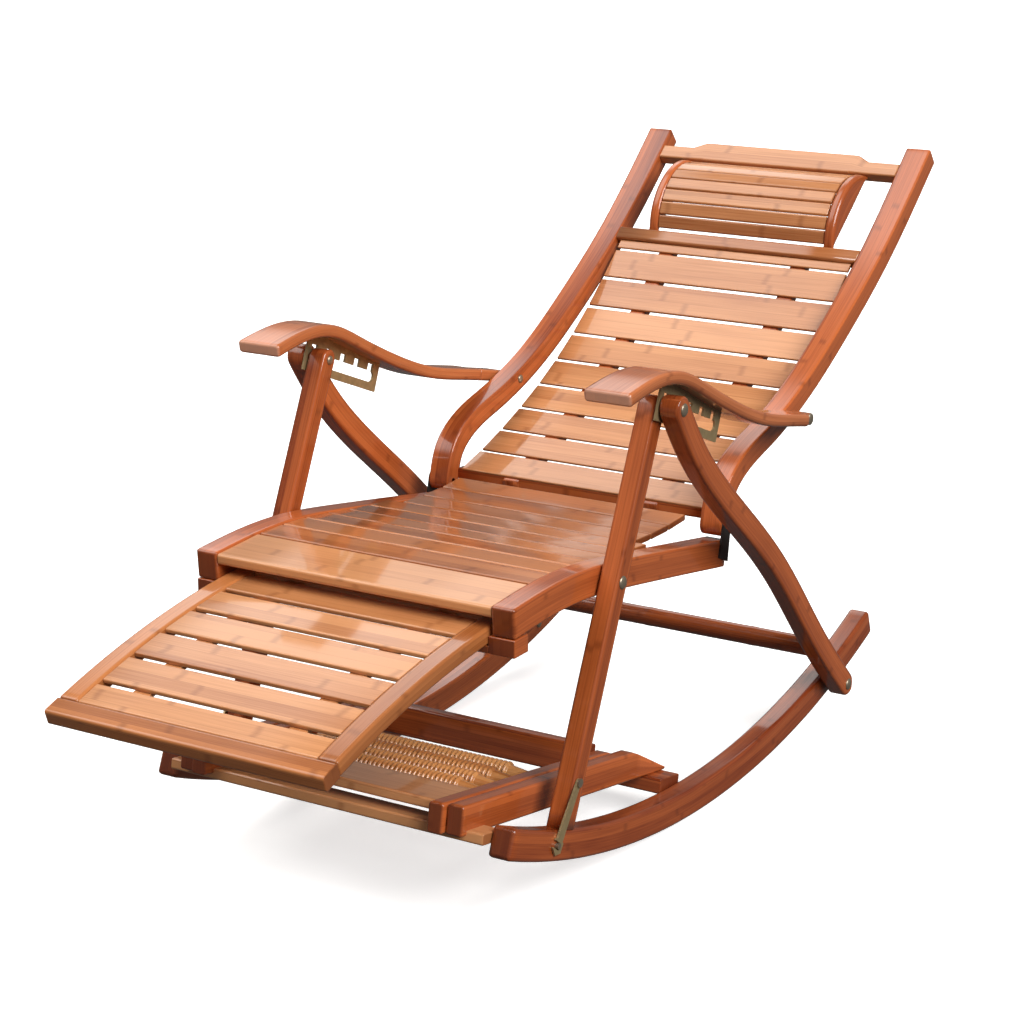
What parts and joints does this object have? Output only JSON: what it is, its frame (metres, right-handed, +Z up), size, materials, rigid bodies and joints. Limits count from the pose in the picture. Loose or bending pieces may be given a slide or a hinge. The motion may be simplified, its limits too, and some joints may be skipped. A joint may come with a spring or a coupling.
{
  "type": "folding rocking chair",
  "caption": "Slatted bamboo rocking chair with a reclining back, curved armrests, a head pillow, a sliding leg rest and a tray of foot rollers.",
  "frame": {"origin": "middle of the chair's bounding box, on the floor under the rockers", "axes": "+X to the chair's left side seen from the front, +Y from the leg rest to the back, +Z up"},
  "size_m": [0.63, 1.6454, 0.8371],
  "materials": {
    "bamboo_rail": "gloss lacquer",
    "bamboo_slat": "gloss lacquer",
    "bamboo_pole": "gloss lacquer",
    "turned_wood": "satin lacquer",
    "brass": "plated",
    "steel_fixings": "zinc plated",
    "black_hinge": "black paint"
  },
  "bodies": {
    "frame": {"rocker_left": "bamboo_rail", "rocker_right": "bamboo_rail", "front_leg_left": "bamboo_rail", "front_leg_right": "bamboo_rail", "back_leg_left": "bamboo_rail", "back_leg_right": "bamboo_rail", "back_pole": "bamboo_pole", "seat_rail_left": "bamboo_rail", "seat_rail_right": "bamboo_rail", "seat_front_slat": "bamboo_slat", "seat_slats": "bamboo_slat", "seat_battens": "bamboo_rail", "guide_blocks": "bamboo_rail", "leg_bolts": "steel_fixings", "back_hinge_left": "black_hinge", "back_hinge_right": "black_hinge", "hook_pins": "steel_fixings", "front_cross_slat": "bamboo_slat", "rear_cross_slat": "bamboo_slat", "tray_outer_bar_left": "bamboo_rail", "tray_outer_bar_right": "bamboo_rail", "tray_inner_bar_left": "bamboo_rail", "tray_inner_bar_right": "bamboo_rail", "tray_front_board": "bamboo_slat", "tray_rear_board": "bamboo_slat", "roller_axles": "steel_fixings"},
    "back": {"back_rail_left": "bamboo_rail", "back_rail_right": "bamboo_rail", "top_rail": "bamboo_rail", "second_rail": "bamboo_rail", "back_bottom_rail": "bamboo_rail", "back_narrow_slat": "bamboo_slat", "back_slat_1": "bamboo_slat", "back_slat_2": "bamboo_slat", "back_slat_3": "bamboo_slat", "back_slat_4": "bamboo_slat", "back_slat_5": "bamboo_slat", "back_slat_6": "bamboo_slat", "back_slat_7": "bamboo_slat", "back_slat_8": "bamboo_slat", "back_slat_9": "bamboo_slat", "back_battens": "bamboo_rail", "pillow_cheek_left": "bamboo_rail", "pillow_cheek_right": "bamboo_rail", "pillow_slats": "bamboo_slat", "arm_bolts": "steel_fixings"},
    "leg_rest": {"leg_rest_rail_left": "bamboo_rail", "leg_rest_rail_right": "bamboo_rail", "leg_rest_front_rail": "bamboo_rail", "leg_rest_slats": "bamboo_slat"},
    "armrest_left": {"armrest_left": "bamboo_slat", "notch_plate_left": "brass"},
    "armrest_right": {"armrest_right": "bamboo_slat", "notch_plate_right": "brass"},
    "hook_left": {"hook_left": "brass"},
    "hook_right": {"hook_right": "brass"},
    "foot_roller_1": {"foot_roller_1": "turned_wood"},
    "foot_roller_2": {"foot_roller_2": "turned_wood"},
    "foot_roller_3": {"foot_roller_3": "turned_wood"},
    "foot_roller_4": {"foot_roller_4": "turned_wood"}
  },
  "joints": [
    {"name": "recline", "type": "hinge", "parent": "frame", "child": "back", "pos_m": [0, 0.10973, 0.388], "axis": [1, 0, 0], "range_deg": [0, 30]},
    {"name": "armrest_left_turn", "type": "hinge", "parent": "back", "child": "armrest_left", "pos_m": [-0.266, 0.30573, 0.506], "axis": [1, 0, 0], "range_deg": [-22.5, 0]},
    {"name": "armrest_right_turn", "type": "hinge", "parent": "back", "child": "armrest_right", "pos_m": [0.266, 0.30573, 0.506], "axis": [1, 0, 0], "range_deg": [-22.5, 0]},
    {"name": "leg_rest_slide", "type": "hinge", "parent": "frame", "child": "leg_rest", "pos_m": [0, -0.34176, -1.0977], "axis": [-1, 0, 0], "range_deg": [0, 13.5]},
    {"name": "hook_left_swing", "type": "hinge", "parent": "frame", "child": "hook_left", "pos_m": [-0.279, -0.36527, 0.171], "axis": [1, 0, 0], "range_deg": [0, 100]},
    {"name": "hook_right_swing", "type": "hinge", "parent": "frame", "child": "hook_right", "pos_m": [0.279, -0.36527, 0.171], "axis": [1, 0, 0], "range_deg": [0, 100]},
    {"name": "foot_roller_1_spin", "type": "hinge", "parent": "frame", "child": "foot_roller_1", "pos_m": [0, -0.40615, 0.14434], "axis": [1, 0, 0], "continuous": true},
    {"name": "foot_roller_2_spin", "type": "hinge", "parent": "frame", "child": "foot_roller_2", "pos_m": [0, -0.36482, 0.13687], "axis": [1, 0, 0], "continuous": true},
    {"name": "foot_roller_3_spin", "type": "hinge", "parent": "frame", "child": "foot_roller_3", "pos_m": [0, -0.32349, 0.1294], "axis": [1, 0, 0], "continuous": true},
    {"name": "foot_roller_4_spin", "type": "hinge", "parent": "frame", "child": "foot_roller_4", "pos_m": [0, -0.28216, 0.12192], "axis": [1, 0, 0], "continuous": true}
  ],
  "couplings": [
    {"joint": "armrest_left_turn", "follows": "recline", "ratio": -0.75},
    {"joint": "armrest_right_turn", "follows": "recline", "ratio": -0.75}
  ]
}
